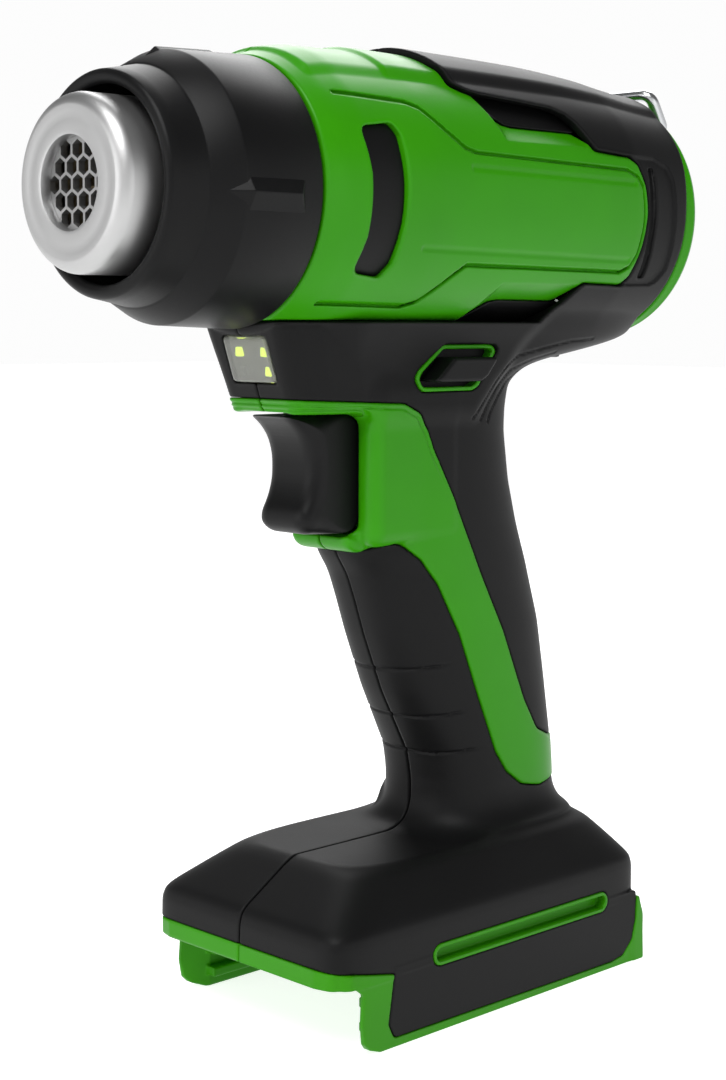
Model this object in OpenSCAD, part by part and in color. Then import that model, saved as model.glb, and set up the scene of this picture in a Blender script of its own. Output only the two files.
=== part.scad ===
// Cordless pistol-grip heat gun, with its battery pack off.
// Millimetres. The barrel axis is X and hot air leaves at x = 0 towards -X.
// +Z is up, and the trigger is pulled towards +X. The left half is at -Y.

/* [Nozzle] */
// Outside radius of the steel nozzle, where add-on nozzles push on
nozzle_r = 20.6; // [18:0.1:21.5]
// Radius of the outlet hole in the nozzle's face
outlet_r = 10.6; // [8:0.1:13]
// Length of the nozzle from its face to its flange
nozzle_len = 34; // [30:1:36]

/* [Barrel] */
// Radius of the black heat collar
collar_r = 33; // [32:0.5:34]
// Largest radius of the green barrel
barrel_r = 36.2; // [35:0.1:36.5]
// Where the collar ends and the barrel starts
barrel_front = 49.5; // [47:0.5:50]
// Where the barrel ends and the rear ring starts
barrel_rear = 188; // [187:0.5:190]
// Thickness of the moulded housing wall
wall = 2.4; // [2:0.1:2.6]
// Thickness of the soft overmould
skin = 1.8; // [1.5:0.1:2]

/* [Controls] */
// Travel of the trigger
trigger_travel = 6.5; // [4:0.5:7]
// Travel of the lock-off button
lock_travel = 4; // [3:0.5:4]

/* [Foot] */
// Half of the foot's width
foot_half_w = 36; // [35.5:0.1:37]
// Height of the bottom of the foot, below the barrel axis
foot_z = -212; // [-214:0.5:-210]

/* [Hidden] */
$fn = 96;

black = "#2b2c2e";
green = "#3f9b1e";
gap = 0.05;            // clearance between pieces of one body
skin_gap = 0.3;        // clearance of the overmould round the barrel

// Barrel outline: x, radius
barrel_outline = [[barrel_front, collar_r], [55, 34.6], [62, 35.7], [85, barrel_r],
    [165, 35.4], [barrel_rear, 33.8]];

// Chin and handle, side view: x, z
body_edge = [[51.4, -24], [51, -31], [55.6, -44], [59.2, -54], [82, -54], [85, -74], [83.5, -90],
    [91, -104], [100.4, -130], [111.5, -153], [109, -163], [98, -172], [171, -172],
    [167, -163], [163, -153], [159.8, -130], [153, -104], [148.4, -90], [143.2, -74],
    [141.8, -60], [143.4, -54], [150, -45.5], [160, -39], [170, -36.9], [180, -36], [184, -33],
    [184, -24]];
// Base: side view x, z; front view y, z; and plan x, y
base_edge = [[70, -169.8], [59, -175.5], [53, -180], [51.3, -184], [50.5, -189.55], [173.5, -189.55],
    [171.5, -180], [166, -169.8]];
base_front = [[-19, -169.8], [-28.5, -175.5], [-33, -180], [-35.2, -189.55], [5, -189.55], [5, -169.8]];
base_plan = [[50.5, -28], [52, -32.5], [56, -34.8], [62, -35.2], [169, -35.2], [173.5, -31], [173.5, 31],
    [169, 35.2], [62, 35.2], [56, 34.8], [52, 32.5], [50.5, 28]];

// Side view of the green strip: x, z
strip_edge = [[48, -49.6], [97, -52], [101, -57], [103.4, -64], [111.5, -78],
    [121.5, -97.6], [131, -114.6], [140, -135], [145.5, -144], [172, -147.5],
    [174, -158], [153, -159.6], [146, -160.2], [138.3, -158.6], [132, -154],
    [128, -148], [114, -114], [106, -100], [100, -92.5], [92, -86.8], [86, -85],
    [79, -88], [60, -88], [60, -85.4], [80, -85.4], [84.2, -78], [85, -68],
    [84.6, -60], [81, -54.2], [48, -54.2]];
// Lip under the trigger: x, z
guard_lip = [[75.4, -85.6], [76.6, -88], [79, -89.4], [82, -90], [86, -87.5], [86, -85.6]];
// Side view of the trigger: x, z
trigger_edge = [[61.2, -54.6], [63.8, -56.8], [67, -60.2], [68.3, -65], [68.3, -71], [67, -75.3],
    [64.6, -79.4], [65.2, -82.4], [69, -84.6], [78.5, -84.6], [83, -80], [84, -72],
    [84, -60], [81, -55.4], [77, -54.6]];
// Black side panel of the foot: x, z
panel_edge = [[74.5, -182], [74, -193], [70.3, -206.6], [72.6, -210], [158, -210],
    [165, -208], [169.4, -199.5], [170.4, -182]];
// Lock-off button section and the pocket round it: x, z
lock_edge = [[98.6, -46.4], [105.6, -40.2], [122.4, -40.2], [116, -46.4]];
pocket_edge = [[94.4, -45.8], [96, -43.4], [104.6, -36.9], [124, -36.9], [125.6, -38.6],
    [118.4, -48], [116, -49], [96.6, -49]];
// LED lens section: x, z
lens_edge = [[52.2, -34.8], [56.2, -46.2], [59.4, -46.2], [55.4, -34.8]];

body_half_w = 17.6;
base_wall = 3;
panel_t = 0.75;
nozzle_flange_r = 24.5;
trigger_half_w = 9.6;
stem_r = 3;
stem_z = -70;
switch_front = 98;
spring_front = 84.6;
lock_half_len = 21;
hook_x = 202.5;
hook_z = 25;
hook_half_w = 14;
wire_r = 1.4;
shaft_r = 1.6;
motor_front = 134;
motor_rear = 178;
motor_r = 18;
fan_x = 116;
fan_len = 13;
fan_r = 27;
foot_top = -189.6;
foot_plate = -195.4;
// Long slot in each side of the foot
slot_x0 = 86.7;
slot_len = 65;
slot_r = 2.5;
slot_z = -193.2;
blade_ys = [-12, -4, 4, 12];
ring_screw_angles = [45, 135, 225, 315];
pocket_mid = [110, -43];
// Clamshell screws: x, z
screw_spots = [[68, -41], [150, -39], [134, -61], [128, -122], [122, -165]];
screw_r = 1.35;
boss_r = 3.2;
boss_len = 13.8;
// Recessed windows on each flank: x, z of a corner, length, height
windows = [[116, 20.5, 32, 6.5], [114, -27, 32, 6.5]];
vent = [63, 11, 16];       // side vent: x, length, half height
rear_slot = [172.5, 3.2, 11.5];
rear_band = 169;           // where the overmould closes round the barrel
saddle_front = 98;
saddle_angle = 50;

// Outline moved inwards by t, with its corners kept sharp
function inset(edge, t) = let (n = len(edge), turn = edge_turn(edge))
    [for (i = [0 : n - 1]) let (a = side_normal(edge[(i + n - 1) % n], edge[i], turn),
        b = side_normal(edge[i], edge[(i + 1) % n], turn)) edge[i] + t * (a + b) / (1 + a * b)];
// Unit normal of one side, towards the inside
function side_normal(p, q, turn) = let (d = (q - p) / norm(q - p)) turn * [-d[1], d[0]];
// 1 for an outline that runs anticlockwise, -1 for a clockwise one
function edge_turn(edge, i = 0, area = 0) = i == len(edge) ? sign(area)
    : let (p = edge[i], q = edge[(i + 1) % len(edge)]) edge_turn(edge, i + 1, area + p[0] * q[1] - q[0] * p[1]);

// Extrude a side view (x, z) between two values of y
module side_view(edge, y0, y1) {
    translate([0, y1, 0]) rotate([90, 0, 0]) linear_extrude(y1 - y0) polygon(edge);
}

// Spin an outline of x, radius about the barrel axis; part turns start at the top, to the left
module barrel_turn(outline, angle = 360, start = 90) {
    rotate([90, 0, 90]) rotate([0, 0, start]) rotate_extrude(angle = angle)
        polygon([for (p = outline) [p[1], p[0]]]);
}

// Outline between two radii that follow the barrel
function barrel_wall(outer, inner) = concat([for (p = barrel_outline) [p[0], p[1] + outer]],
    [for (i = [len(barrel_outline) - 1 : -1 : 0]) [barrel_outline[i][0], barrel_outline[i][1] + inner]]);

// Plain tube along X
module tube(x0, x1, r, bore) {
    translate([x0, 0, 0]) rotate([0, 90, 0]) difference() {
        cylinder(r = r, h = x1 - x0);
        translate([0, 0, -1]) cylinder(r = bore, h = x1 - x0 + 2);
    }
}

module rod(x0, x1, r) {
    translate([x0, 0, 0]) rotate([0, 90, 0]) cylinder(r = r, h = x1 - x0);
}

// Rod along X, raised to height z
module rod_at(z, x0, x1, r) {
    translate([0, 0, z]) rod(x0, x1, r);
}

// Wire of round section through points
module wire(path, r, sides = 8) {
    n = len(path);
    rings = [for (i = [0 : n - 1]) let (a = path[max(i - 1, 0)], b = path[min(i + 1, n - 1)],
        d = (b - a) / norm(b - a), s = cross(d, abs(d[1]) > 0.9 ? [0, 0, 1] : [0, 1, 0]),
        u = s / norm(s), v = cross(d, u))
        [for (j = [0 : sides - 1]) let (t = 360 * j / sides) path[i] + r * (cos(t) * u + sin(t) * v)]];
    faces = [for (i = [0 : n - 2], j = [0 : sides - 1]) let (k = (j + 1) % sides, p = i * sides, q = p + sides)
        each [[p + j, p + k, q + k], [p + j, q + k, q + j]]];
    ends = [[for (j = [sides - 1 : -1 : 0]) j], [for (j = [0 : sides - 1]) (n - 1) * sides + j]];
    polyhedron([for (q = rings) each q], concat(faces, ends));
}

// Helix about an axis along X
function helix(x0, x1, r, turns, z, steps = 8) = [for (i = [0 : turns * steps])
    let (t = 360 * i / steps) [x0 + (x1 - x0) * i / (turns * steps), r * sin(t), z + r * cos(t)]];

module both_sides() {
    children();
    mirror([0, 1, 0]) children();
}

// Trigger slot, lock-off pocket and lens window, through housing and overmould
module control_cuts() {
    translate([50, -trigger_half_w - 0.6, -85.3]) cube([44, 2 * trigger_half_w + 1.2, 31.1]);
    side_view(pocket_edge, -25, 25);
    side_view([[50, -34.6], [54.2, -46.4], [61.4, -46.4], [57.2, -34.6]], -8.7, 8.7);
}

// Block on the left flank of the barrel: x, z of its low corner, length and height
module flank_box(x, z, len_x, len_z) {
    translate([x, -40, z]) cube([len_x, 25, len_z]);
}

// Openings in the left flank: side vent, windows and rear intake slot
module flank_cuts(grow = 0) {
    flank_box(vent[0] - grow, -vent[2] - grow, vent[1] + 2 * grow, 2 * vent[2] + 2 * grow);
    for (w = windows) flank_box(w[0] - grow, w[1] - grow, w[2] + 2 * grow, w[3] + 2 * grow);
}

module rear_slot_cut() {
    flank_box(rear_slot[0], -rear_slot[2], rear_slot[1], 2 * rear_slot[2]);
}

// Everything inside the barrel's outer surface
module barrel_solid(grow) {
    barrel_turn(concat([[barrel_front - 20, 0]], [for (p = barrel_outline) [p[0], p[1] + grow]],
        [[barrel_rear + 10, barrel_outline[5][1] + grow], [barrel_rear + 10, 0]]));
}

// Left half of the chin and handle, its surface moved inwards by t
module body_block(t, past = 0) {
    side_view(inset(body_edge, t), -body_half_w + t, past);
}

// Core of the chin and handle under the overmould, one half, with its screw bosses
module handle_core(screw_side) {
    difference() {
        union() {
            difference() {
                body_block(skin + gap);
                body_block(skin + wall, 1);
                translate([114, -body_half_w + skin + wall, -176]) cube([44, 30, 14]);
            }
            for (s = screw_spots) on_screw(s) cylinder(r = boss_r, h = boss_len);
        }
        barrel_solid(-1);
        collar_space();
        control_cuts();
        screw_cuts(screw_side);
    }
}

// Room for the heat collar, which the chin passes under
module collar_space() {
    rod(barrel_front - 20, barrel_front, collar_r + skin_gap);
}

// Axis of one clamshell screw, out to the left
module on_screw(spot) {
    translate([spot[0], 0, spot[1]]) rotate([90, 0, 0]) children();
}

// Pilot holes, and on the head side the access holes
module screw_cuts(screw_side) {
    for (s = screw_spots) on_screw(s) translate([0, 0, -1])
        cylinder(r = screw_r + 0.1, h = screw_side ? 30 : 9);
    if (screw_side) for (s = screw_spots) on_screw(s) translate([0, 0, boss_len])
        cylinder(r = 3.1, h = 10);
}

// One half of the clamshell: barrel wall, and the core of the chin and handle
module housing_half(screw_side) {
    difference() {
        barrel_turn(barrel_wall(0, -wall), 180);
        translate([60, -14, -40]) cube([100, 28, 12]);
        flank_cuts();
        rear_slot_cut();
        for (a = ring_screw_angles) rotate([a, 0, 0]) rod_at(31, 185, 190, 1.25);
    }
    handle_core(screw_side);
}

module housing_left() {
    color(green) housing_half(false);
}

module housing_right() {
    color(green) mirror([0, 1, 0]) housing_half(true);
}

// Left half of the base, its surface moved inwards by t
module base_block(t) {
    intersection() {
        side_view(inset(base_edge, t), -40, t > 0 ? 1 : 0);
        rotate([90, 0, 90]) linear_extrude(200) polygon(inset(base_front, t));
        translate([0, 0, -200]) linear_extrude(40) polygon(inset(base_plan, t));
    }
}

// Black panel set into each side of the foot, with its long slot
module side_panels() {
    color(black) both_sides() difference() {
        side_view(panel_edge, -foot_half_w, -foot_half_w + panel_t);
        translate([0, 0, slot_z]) slot_shape(slot_r + gap, 5);
    }
}

module strip_zone() {
    side_view(strip_edge, -30, 0);
}

// Soft black half: chin, handle and base, with the band and saddle round the barrel
module grip_half(screw_side) {
    difference() {
        union() {
            body_block(0);
            difference() {
                base_block(0);
                base_block(base_wall);
                translate([0, 0, -195]) linear_extrude(9) polygon(inset(base_plan, base_wall));
            }
            barrel_turn([[rear_band, barrel_r - 3], [rear_band, barrel_r + 0.8], [barrel_rear, 35.6],
                [barrel_rear, barrel_r - 3]], 180);
            barrel_turn([[saddle_front, barrel_r - 2], [saddle_front + 3, 38.2], [125, 38.2],
                [rear_band, barrel_r + 0.8], [rear_band, barrel_r - 2]], saddle_angle);
        }
        body_block(skin, 1);
        translate([114, -body_half_w + skin, -180]) cube([44, 30, 16]);
        barrel_solid(skin_gap);
        strip_zone();
        side_view(guard_lip, -11, 1);
        control_cuts();
        rear_slot_cut();
        collar_space();
        if (screw_side) screw_cuts(true);
    }
}

module grip_left() {
    color(black) grip_half(false);
}

module grip_right() {
    color(black) mirror([0, 1, 0]) grip_half(true);
}

// Green trim of one side: band under the chin, trigger surround, lip and handle strip
module side_strip() {
    difference() {
        union() {
            intersection() {
                body_block(0);
                strip_zone();
            }
            side_view(guard_lip, -11, 0);
        }
        body_block(skin, 1);
        control_cuts();
        barrel_solid(skin_gap);
    }
}

module side_strip_left() {
    color(green) side_strip();
}

module side_strip_right() {
    color(green) mirror([0, 1, 0]) side_strip();
}

// Black heat collar with its bull-nosed bezel and four wedge ribs
module front_collar() {
    color(black) {
        barrel_turn(concat([[8.8, 23.1]],
            [for (t = [0 : 20 : 80]) [8.6 - 1.5 * sin(t) + 1.5 * (t / 80) , 24.6 + 2.2 * (1 - cos(t))]],
            [[10.4, 27], [19, 28.2], [19.6, 29.4], [26.4, 32.4], [barrel_front - gap, collar_r],
            [barrel_front - gap, collar_r - 3], [28, 27], [12, 25.4]]));
        for (a = [0, 90, 270]) rotate([a, 0, 0]) side_view([[28, 31.5], [44, 34.9], [46.5, 31.5]], -3.5, 3.5);
    }
}

// Satin steel nozzle with a recessed outlet
module nozzle() {
    shoulder = 2.9;
    color("#c9c9c9") barrel_turn(concat([[0, outlet_r]],
        [for (t = [0 : 15 : 90]) [shoulder * (1 - cos(t)), nozzle_r - shoulder * (1 - sin(t))]],
        [[nozzle_len - 4, nozzle_r], [nozzle_len - 4, nozzle_flange_r], [nozzle_len, nozzle_flange_r],
        [nozzle_len, 18.4], [9, 18.4], [6, 13.6], [3, 13.6], [3, outlet_r]]));
}

// Honeycomb guard seated behind the nozzle's face
module nozzle_grille() {
    pitch = 4.5;
    web = 0.75;
    color("#b8b8b8") translate([3 + gap, 0, 0]) rotate([90, 0, 90]) linear_extrude(1.8) difference() {
        circle(r = 13.5);
        for (row = [-3 : 3], col = [-3 : 3]) let (y = (col + (row % 2 == 0 ? 0 : 0.5)) * pitch,
            z = row * pitch * sqrt(3) / 2)
            if (norm([y, z]) < 10.9) translate([y, z]) rotate(30) circle(r = (pitch - web) / sqrt(3), $fn = 6);
    }
}

// Steel tube that carries the nozzle's heat away from the collar
module heater_shield() {
    color("#a9a9a5") tube(nozzle_len + gap, 98, 23, 22.4);
}

module mica_sleeve() {
    color("#d9c9a0") tube(12, 98, 17.7, 16.9);
}

// Two crossed mica plates that hold the heating wire
module mica_former() {
    half = 14.3;
    color("#cdbb8c") {
        translate([14, -0.4, -half]) cube([83, 0.8, 2 * half]);
        translate([14, -half, -0.4]) cube([83, 2 * half, 0.8]);
    }
}

module heating_coil() {
    color("#8d8d92") wire(helix(18, 94, 15.4, 9, 0), 0.6, 6);
}

module thermal_cutout() {
    color("#b99a4c") {
        translate([80, 3, 3]) cube([11, 5, 5]);
        translate([76, 5.5, 5.5]) rotate([0, 90, 0]) cylinder(r = 0.6, h = 19);
    }
}

// Ceramic ring at the back of the heater
module heater_flange() {
    color("#ece8dc") tube(98.2, 103, 23, 13);
}

// Funnel and shroud that lead the fan's air into the heater
module air_guide() {
    color("#3a3b3d") barrel_turn([[103.2, 22], [103.2, 24.5], [112, 30.5], [131, 30.5], [131, 28.8],
        [113, 28.8], [105, 22]]);
}

module fan_impeller() {
    blades = 9;
    color("#dfe0dc") difference() {
        union() {
            rod(fan_x, fan_x + fan_len, 8);
            for (i = [0 : blades - 1]) rotate([360 * i / blades, 0, 0]) translate([fan_x + 1, -0.6, 5])
                rotate([0, 0, 0]) cube([fan_len - 2, 1.2, fan_r - 5]);
            rod(fan_x + fan_len - 1.4, fan_x + fan_len, fan_r);
        }
        rod(fan_x - 1, fan_x + fan_len + 1, shaft_r + 0.02);
    }
}

module motor_shaft() {
    color("#c4c6c8") rod(fan_x - 2, motor_rear + 4, shaft_r);
}

// Wound armature and commutator
module motor_armature() {
    color("#b06a3a") difference() {
        union() {
            rod(motor_front + 9, motor_front + 33, 11.5);
            rod(motor_front + 34, motor_front + 40, 4.5);
            rod(motor_front + 33, motor_front + 34, 3);
        }
        rod(motor_front, motor_rear, shaft_r + 0.02);
    }
}

// Steel can, hollow, with a bush seat in each end
module motor_can() {
    color("#9da1a5") difference() {
        rod(motor_front, motor_rear, motor_r);
        rod(motor_front + 2, motor_rear - 2, motor_r - 1.2);
        rod(motor_front - 1, motor_rear + 1, 4);
    }
}

module motor_magnets() {
    color("#4a4a4e") for (a = [30, 210])
        barrel_turn([[motor_front + 6, 12.6], [motor_front + 6, motor_r - 1.3],
            [motor_front + 36, motor_r - 1.3], [motor_front + 36, 12.6]], 120, a);
}

module motor_bushes() {
    color("#c8a24a") for (x = [motor_front, motor_rear - 2]) tube(x, x + 2, 3.95, shaft_r + 0.05);
}

// Plate that holds the motor in the housing and lets the air past
module motor_mount() {
    windows_n = 8;
    color("#333436") difference() {
        rod(131.2, motor_front - gap, 31.6);
        rod(130, 135, 4.4);
        for (i = [0 : windows_n - 1]) rotate([360 * i / windows_n, 0, 0]) translate([130, 0, 25])
            rotate([0, 90, 0]) cylinder(r = 4.6, h = 6);
    }
}

// Green ring that closes the back, with the hook's two lugs
module rear_ring() {
    color(green) difference() {
        union() {
            barrel_turn([[barrel_rear + gap, 28], [barrel_rear + gap, 34.8], [191.5, 34], [194, 31.4], [194, 28]]);
            for (y = [-12.2, 8.8]) translate([190, y, hook_z - 3]) cube([15.6, 3.4, 6]);
        }
        translate([hook_x, -20, hook_z]) rotate([-90, 0, 0]) cylinder(r = wire_r + 0.05, h = 40);
        barrel_turn([[189, 0], [189, 28 + gap], [191.6, 28 + gap], [191.6, 0]]);
        for (a = ring_screw_angles) rotate([a, 0, 0]) rod_at(31, 180, 200, 1.25);
    }
}

// Flat intake grille with radial slots
module intake_grille() {
    slots = 24;
    color("#1d1e20") difference() {
        rod(189, 191.5, 28);
        for (i = [0 : slots - 1]) rotate([360 * i / slots, 0, 0]) translate([188, -0.9, 9]) cube([5, 1.8, 16]);
    }
}

// Dark louvre inserts in the side vents
module side_vents() {
    color("#1b1c1e") both_sides() intersection() {
        barrel_turn(barrel_wall(-0.8, -wall + 0.3), 180);
        flank_box(vent[0] + gap, -vent[2] + gap, vent[1] - 2 * gap, 2 * vent[2] - 2 * gap);
    }
}

module window_panels() {
    color("#1b1c1e") both_sides() intersection() {
        barrel_turn(barrel_wall(-1.2, -wall + 0.3), 180);
        for (w = windows) flank_box(w[0] + gap, w[1] + gap, w[2] - 2 * gap, w[3] - 2 * gap);
    }
}

// Round bar between two points
module bar(a, b, r) {
    d = b - a;
    translate(a) rotate([0, acos(d[2] / norm(d)), atan2(d[1], d[0])]) cylinder(r = r, h = norm(d));
}

// Wire bail that the tool hangs from
module wire_hook() {
    top = [hook_x - 6.2, 0, hook_z + 9.3];
    pivot = [hook_x, 0, hook_z];
    color("#cfd2d4") {
        for (s = [-1, 1]) let (y = [0, s * hook_half_w, 0]) {
            bar(pivot + y, pivot + [0, s * 9, 0], wire_r);
            bar(pivot + y, top + y, wire_r);
            translate(pivot + y) sphere(r = wire_r);
            translate(top + y) sphere(r = wire_r);
        }
        bar(top - [0, hook_half_w, 0], top + [0, hook_half_w, 0], wire_r);
    }
}

module led_lens() {
    color("#c9cdb8") side_view(lens_edge, -8.5, 8.5);
}

// Lamp board with four light chips
module led_board() {
    color("#3d7a45") side_view([[56.4, -35.8], [60.05, -46.2], [61.05, -46.2], [57.4, -35.8]], -8, 8);
    color("#d8e04a") for (y = [-6.5, 4], s = [0.2, 0.7])
        translate([56.2 + 3.65 * s, y, -36.6 - 10.4 * s]) cube([1.4, 2.5, 1.8]);
}

module trigger() {
    color(black) {
        side_view(trigger_edge, -trigger_half_w, trigger_half_w);
        translate([0, 0, stem_z]) rod(80, switch_front + 2, stem_r);
    }
}

module trigger_spring() {
    color("#b9bcc0") wire(helix(spring_front, switch_front - 0.6, 4.4, 5, stem_z), 0.45, 6);
}

module switch_module() {
    color("#2f3a44") difference() {
        translate([switch_front, -9.5, -82]) cube([28, 19, 25]);
        translate([switch_front - 1, 0, stem_z]) rotate([0, 90, 0]) cylinder(r = stem_r + 0.3, h = 11);
    }
}

module lock_button() {
    color(black) side_view(lock_edge, -lock_half_len - lock_travel / 2, lock_half_len - lock_travel / 2);
}

// Green rings round the lock-off pocket, one on each side
module lock_rings() {
    color(green) both_sides() difference() {
        side_view(pocket_edge, -18.6, -15);
        side_view([for (p = pocket_edge) pocket_mid + (p - pocket_mid) * 0.9], -20, -14);
    }
}

// Control board in the base, with a capacitor, two power transistors and a heat sink
module control_board() {
    color("#2f6b3c") translate([72, -22, -184]) cube([66, 44, 1.6]);
    color("#22384f") translate([84, -12, -182.4]) cylinder(r = 4, h = 7);
    color("#1e1e1e") for (y = [2, 10]) translate([96, y, -182.4]) cube([4, 6, 5]);
    color("#b5b8ba") translate([112, -16, -182.4]) cube([12, 30, 4]);
}

// Green foot: tray, side walls with battery rails, and the rear wall
module foot() {
    color(green) difference() {
        union() {
            translate([0, 0, foot_plate]) linear_extrude(foot_top - foot_plate) polygon(base_plan);
            for (s = [-1, 1]) {
                translate([61.5, s > 0 ? foot_half_w - 5 : -foot_half_w, foot_z])
                    cube([112, 5, foot_top - foot_z]);
                for (z = [foot_z + 3, foot_z + 9.5])
                    translate([64, s > 0 ? foot_half_w - 8 : -foot_half_w + 4.9, z]) cube([104, 3.1, 3]);
            }
            translate([169, -foot_half_w, foot_z]) cube([4.5, 2 * foot_half_w, foot_top - foot_z]);
        }
        translate([0, 0, foot_plate + 2.4]) linear_extrude(10) polygon(inset(base_plan, base_wall));
        both_sides() side_view(panel_edge, -foot_half_w - 1, -foot_half_w + panel_t + gap);
        both_sides() translate([0, 0, slot_z]) slot_shape(slot_r + gap, 3.5);
        translate([146, -16.05, foot_plate - 1]) cube([20.1, 32.1, 5]);
    }
}

// Round-ended block through the left side panel, centred on its slot
module slot_shape(r, depth) {
    translate([0, -foot_half_w + depth, 0]) rotate([90, 0, 0]) linear_extrude(depth + 1) {
        translate([slot_x0 + slot_r, -slot_r]) square([slot_len, 2 * slot_r]);
        translate([slot_x0 + slot_r, -r]) square([slot_len, 2 * r]);
        for (x = [0, slot_len]) translate([slot_x0 + slot_r + x, 0]) circle(r = r);
    }
}

// Green liners of the long slots in the foot's sides
module slot_trims() {
    color(green) both_sides() difference() {
        intersection() {
            translate([0, 0, slot_z]) slot_shape(slot_r, 3.3);
            translate([60, -foot_half_w, -200]) cube([120, 10, 20]);
        }
        translate([0, -1.2, slot_z]) slot_shape(slot_r - 0.9, 2.4);
    }
}

// Insulated block that carries the pack's contacts
module terminal_block() {
    color("#26282b") difference() {
        translate([146.05, -16, -207]) cube([20, 32, 16]);
        for (y = blade_ys) translate([145, y - 0.45, -205.05]) cube([12, 0.9, 7.1]);
    }
}

module terminals() {
    color("#c9a545") for (y = blade_ys) translate([137, y - 0.4, -205]) cube([19.5, 0.8, 7]);
}

// Clamshell screws, driven from the right
module housing_screws() {
    color("#8f9396") for (s = screw_spots) translate([s[0], -7.8, s[1]]) rotate([-90, 0, 0]) {
        cylinder(r = screw_r, h = 7.8 + boss_len);
        translate([0, 0, 7.8 + boss_len]) difference() {
            cylinder(r = 2.7, h = 1.8);
            translate([0, 0, 1]) cylinder(r = 1.1, h = 2, $fn = 6);
        }
    }
}

module ring_screws() {
    color("#8f9396") for (a = ring_screw_angles) rotate([a, 0, 0]) rod_at(31, 186.2, 191.5, 1.2);
}

module motor_leads() {
    color("#b3372c") for (s = [-1, 1])
        wire([[138, s * 4, -180], [142, s * 4, -166], [142, s * 4, -145], [143, s * 4, -122],
            [138, s * 4, -100], [131, s * 4, -84], [128.6, s * 4, -72], [128.4, s * 4, -60],
            [130, s * 4, -48], [138, s * 4, -35], [144, s * 4, -27], [160, s * 4, -24],
            [178, s * 4, -22], [181.5, s * 4, -17], [180.5, s * 4, -12]], 0.9, 6);
}

module battery_leads() {
    color("#2a2a2a") for (s = [-1, 1])
        wire([[152, s * 9, -190.6], [150, s * 9, -182], [147, s * 9, -168], [147, s * 9, -150],
            [146, s * 9, -122], [136, s * 9, -97], [124, s * 9, -88], [118, s * 8, -82.9]], 1, 6);
}

housing_left();
housing_right();
grip_left();
grip_right();
side_strip_left();
side_strip_right();
side_panels();
front_collar();
nozzle();
nozzle_grille();
heater_shield();
mica_sleeve();
mica_former();
heating_coil();
thermal_cutout();
heater_flange();
air_guide();
fan_impeller();
motor_shaft();
motor_armature();
motor_can();
motor_magnets();
motor_bushes();
motor_mount();
rear_ring();
intake_grille();
side_vents();
window_panels();
wire_hook();
led_lens();
led_board();
trigger();
trigger_spring();
switch_module();
lock_button();
lock_rings();
control_board();
foot();
slot_trims();
terminal_block();
terminals();
housing_screws();
ring_screws();
motor_leads();
battery_leads();
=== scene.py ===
"""Looks of the cordless heat gun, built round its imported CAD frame.

The moulded skins are made as signed distance fields in millimetres, because that gives the soft blends,
rounded edges and engraved lines of a moulding. Each field is meshed once, and a left half also serves, mirrored,
as the right half. Everything else is turned or extruded.
"""
import math

import bpy
import numpy as np
from mathutils import Matrix, Vector


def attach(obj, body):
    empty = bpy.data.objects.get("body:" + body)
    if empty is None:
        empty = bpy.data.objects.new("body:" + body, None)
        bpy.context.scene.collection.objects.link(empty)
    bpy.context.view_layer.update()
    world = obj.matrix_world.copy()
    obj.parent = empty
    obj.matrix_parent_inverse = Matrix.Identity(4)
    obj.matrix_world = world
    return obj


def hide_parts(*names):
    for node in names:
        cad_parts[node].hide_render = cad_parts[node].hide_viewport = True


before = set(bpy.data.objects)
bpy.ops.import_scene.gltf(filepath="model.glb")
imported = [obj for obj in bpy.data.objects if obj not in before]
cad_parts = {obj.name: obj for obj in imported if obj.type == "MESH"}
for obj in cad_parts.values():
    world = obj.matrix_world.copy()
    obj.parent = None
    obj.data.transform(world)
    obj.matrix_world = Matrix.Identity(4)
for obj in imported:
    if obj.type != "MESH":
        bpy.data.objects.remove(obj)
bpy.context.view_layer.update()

MM = 0.001
BLOCK = 8                  # grid points along one side of a block of the field
SEAM = 0.14                # half of the gap between the two halves of the clamshell
FLOOR_Z = -212.0


# ---------------------------------------------------------------- fields

def smin(a, b, k):
    """Smaller of two fields, blended over k."""
    h = np.maximum(k - np.abs(a - b), 0) / k
    return np.minimum(a, b) - h * h * k / 4


def smax(a, b, k):
    """Larger of two fields, blended over k."""
    return -smin(-a, -b, k)


def step01(x, a, b):
    """Smooth step from 0 at a to 1 at b."""
    t = np.clip((x - a) / (b - a), 0, 1)
    return t * t * (3 - 2 * t)


def rounded(points, r, parts=5):
    """Closed outline with each corner rounded, as near to radius r as its sides allow."""
    pts = [np.array(p, float) for p in points]
    out = []
    for i, p in enumerate(pts):
        a, b = pts[i - 1] - p, pts[(i + 1) % len(pts)] - p
        la, lb = np.linalg.norm(a), np.linalg.norm(b)
        turn = math.acos(np.clip(-a @ b / (la * lb), -1, 1))
        cut = min(r * math.tan(turn / 2), 0.48 * la, 0.48 * lb)
        s, e = p + a / la * cut, p + b / lb * cut
        for t in np.linspace(0, 1, parts):
            out.append((1 - t) ** 2 * s + 2 * t * (1 - t) * p + t * t * e)
    return np.array(out)


def segment_distance(u, v, a, b):
    """Distance from points (u, v) to the segment from a to b."""
    d = b - a
    t = np.clip(((u - a[0]) * d[0] + (v - a[1]) * d[1]) / max(d @ d, 1e-9), 0, 1)
    return np.hypot(u - a[0] - t * d[0], v - a[1] - t * d[1])


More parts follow.
